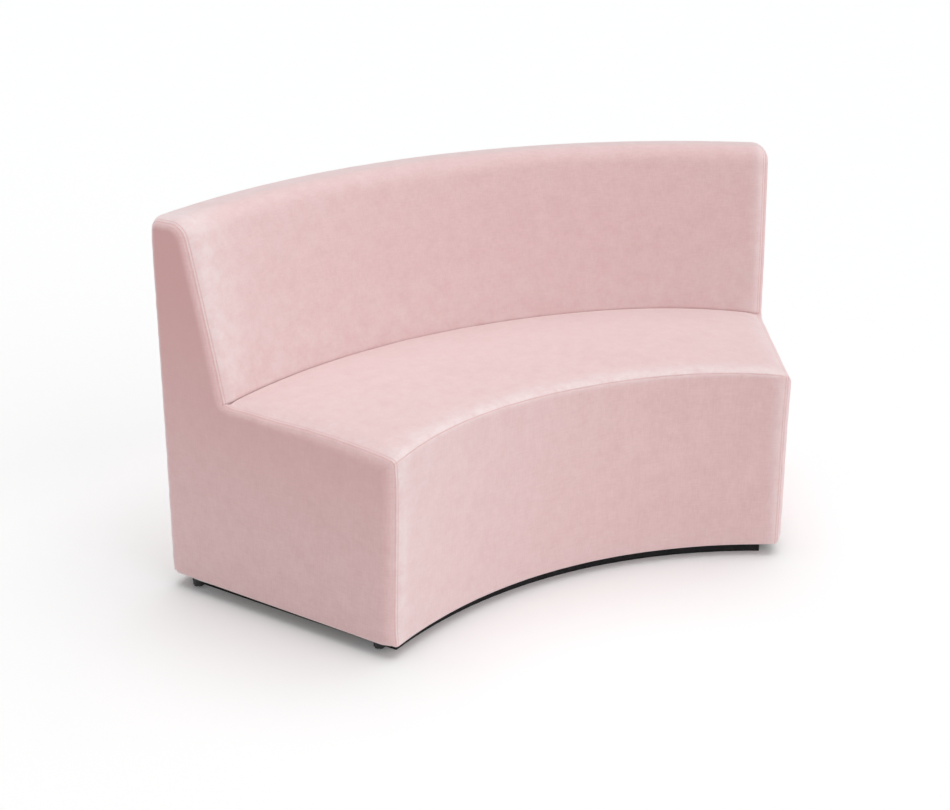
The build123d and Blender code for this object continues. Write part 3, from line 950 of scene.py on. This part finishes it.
def make_upholstery():
    panels = main_panels()
    for panel in panels.values():
        panel.swell()
    pile = velvet()
    upholster(panels["seat"].build(), ["seat_cover", "seat_foam"], pile)
    upholster(panels["back"].build(), ["inside_back_cover", "back_foam"], pile)
    upholster(panels["front"].build(), ["front_cover", "front_padding"], pile)
    upholster(panels["outside"].build(), ["outside_back_cover", "outer_back_padding"], pile)
    for side, word in ((-1, "left"), (1, "right")):
        flat, to_seam, to_hem, faces = end_panel_mesh(*end_outline(panels, side))
        rise = end_rise(flat, to_seam, to_hem, faces)
        piece = end_panel(f"end_pad_{word}", side, flat, to_seam, to_hem, faces, rise)
        upholster(piece, [f"end_cover_{word}", f"end_padding_{word}"], pile)


def dust_cover():
    columns, rows = LINING_GRID
    turns = np.linspace(-1, 1, columns)
    radii = np.linspace(FRONT_RADIUS + LINING_MARGIN, BACK_RADIUS - LINING_MARGIN, rows)
    turn, radius = np.meshgrid(turns, radii, indexing="ij")
    across = np.clip((radius - PLINTH_FRONT_RADIUS) / (PLINTH_REAR_RADIUS - PLINTH_FRONT_RADIUS), 0, 1)
    along = np.abs(np.sin((turn + 1) / 2 * PLINTH_BAYS * math.pi))
    inner = 1 - smooth(*LINING_SAG_ENDS, np.abs(turn))
    sag = LINING_SAG * np.sin(across * math.pi) ** 2 * along ** LINING_SAG_POWER * inner
    angle = turn * (HALF_SWEEP - np.arcsin(LINING_MARGIN / radius))
    grid = np.stack([radius * np.sin(angle), AXIS_Y + radius * np.cos(angle), LINING_HEIGHT - sag], axis=-1)
    below = grid - np.array([0, 0, LINING_THICKNESS])
    numbers = np.arange(columns * rows).reshape(columns, rows)
    under = numbers + columns * rows
    loop = np.concatenate([numbers[:-1, 0], numbers[-1, :-1], numbers[:0:-1, -1], numbers[0, :0:-1]])
    after = np.roll(loop, -1)
    rim = np.column_stack([loop, after, after + columns * rows, loop + columns * rows])
    faces = np.vstack([quads_of(numbers), quads_of(under)[:, ::-1], rim]).tolist()
    piece = mesh_object("dust_lining", np.vstack([grid.reshape(-1, 3), below.reshape(-1, 3)]), faces)
    paint(piece, woven_band("lining", (0.035, 0.035, 0.036), (0.018, 0.018, 0.019), 0.0012))
    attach(piece, "body")
    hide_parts("dust_cover")


def finish_solids():
    """Finishes of the solids that show as they are."""
    wood = plywood()
    board = black_board()
    feet = moulded_plastic("foot_plastic")
    steel = zinc_steel()
    knobs = moulded_plastic("knob_plastic")
    band = woven_band("elastic_webbing", (0.20, 0.20, 0.21), (0.10, 0.10, 0.11), 0.002)
    finishes = (
        ("plinth_", board), ("levelling_foot", feet), ("link_screws", knobs), ("link_plate", steel),
        ("levelling_inserts", steel), ("link_inserts", steel), ("seat_webbing", band), ("", wood),
    )
    for name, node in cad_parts.items():
        if not node.hide_render:
            paint(node, next(material for start, material in finishes if name.startswith(start)))


def seen_ray(tree):
    """Factor that is 1 for camera, glossy and transmission rays."""
    path = tree.nodes.new("ShaderNodeLightPath")
    first = tree.nodes.new("ShaderNodeMath")
    second = tree.nodes.new("ShaderNodeMath")
    first.operation = second.operation = "MAXIMUM"
    tree.links.new(path.outputs["Is Camera Ray"], first.inputs[0])
    tree.links.new(path.outputs["Is Glossy Ray"], first.inputs[1])
    tree.links.new(first.outputs["Value"], second.inputs[0])
    tree.links.new(path.outputs["Is Transmission Ray"], second.inputs[1])
    return second.outputs["Value"]


def make_floor():
    half = FLOOR_SIZE / 2
    corners = [(-half, -half, 0), (half, -half, 0), (half, half, 0), (-half, half, 0)]
    floor = mesh_object("floor", corners, [[0, 1, 2, 3]])
    material = bpy.data.materials.new("floor")
    material.use_nodes = True
    tree = material.node_tree
    tree.nodes.remove(tree.nodes["Principled BSDF"])
    matte = tree.nodes.new("ShaderNodeBsdfDiffuse")
    matte.inputs["Color"].default_value = (*FLOOR_COLOUR, 1)
    glow = tree.nodes.new("ShaderNodeEmission")
    level = tree.nodes.new("ShaderNodeMath")
    level.operation = "MULTIPLY"
    level.inputs[1].default_value = FLOOR_GLOW
    tree.links.new(seen_ray(tree), level.inputs[0])
    tree.links.new(level.outputs["Value"], glow.inputs["Strength"])
    both = tree.nodes.new("ShaderNodeAddShader")
    tree.links.new(matte.outputs["BSDF"], both.inputs[0])
    tree.links.new(glow.outputs["Emission"], both.inputs[1])
    tree.links.new(both.outputs["Shader"], tree.nodes["Material Output"].inputs["Surface"])
    paint(floor, material)


def make_lights():
    world = bpy.data.worlds.new("studio")
    world.use_nodes = True
    tree = world.node_tree
    background = tree.nodes["Background"]
    background.inputs["Color"].default_value = (1, 1, 1, 1)
    level = tree.nodes.new("ShaderNodeMapRange")
    level.inputs["To Min"].default_value = DOME_LIGHT
    level.inputs["To Max"].default_value = 1.0
    tree.links.new(seen_ray(tree), level.inputs["Value"])
    tree.links.new(level.outputs["Result"], background.inputs["Strength"])
    bpy.context.scene.world = world
    for name, (strength, elevation, azimuth) in LAMPS.items():
        sun = bpy.data.lights.new(name, "SUN")
        sun.energy = strength
        sun.angle = SOFT_ANGLE
        lamp = bpy.data.objects.new(name, sun)
        lamp.rotation_euler = (math.radians(90 - elevation), 0, math.radians(azimuth))
        bpy.context.scene.collection.objects.link(lamp)


def make_camera():
    lens = bpy.data.cameras.new("camera")
    lens.sensor_width = CAMERA_SENSOR
    lens.lens = CAMERA_LENS
    lens.shift_x, lens.shift_y = CAMERA_SHIFT
    camera = bpy.data.objects.new("camera", lens)
    camera.location = CAMERA_PLACE
    camera.rotation_euler = (math.pi / 2 - CAMERA_PITCH, 0, -CAMERA_YAW)
    bpy.context.scene.collection.objects.link(camera)
    bpy.context.scene.camera = camera


make_upholstery()
dust_cover()
finish_solids()
make_floor()
make_lights()
make_camera()
bpy.context.scene.view_settings.view_transform = "Standard"
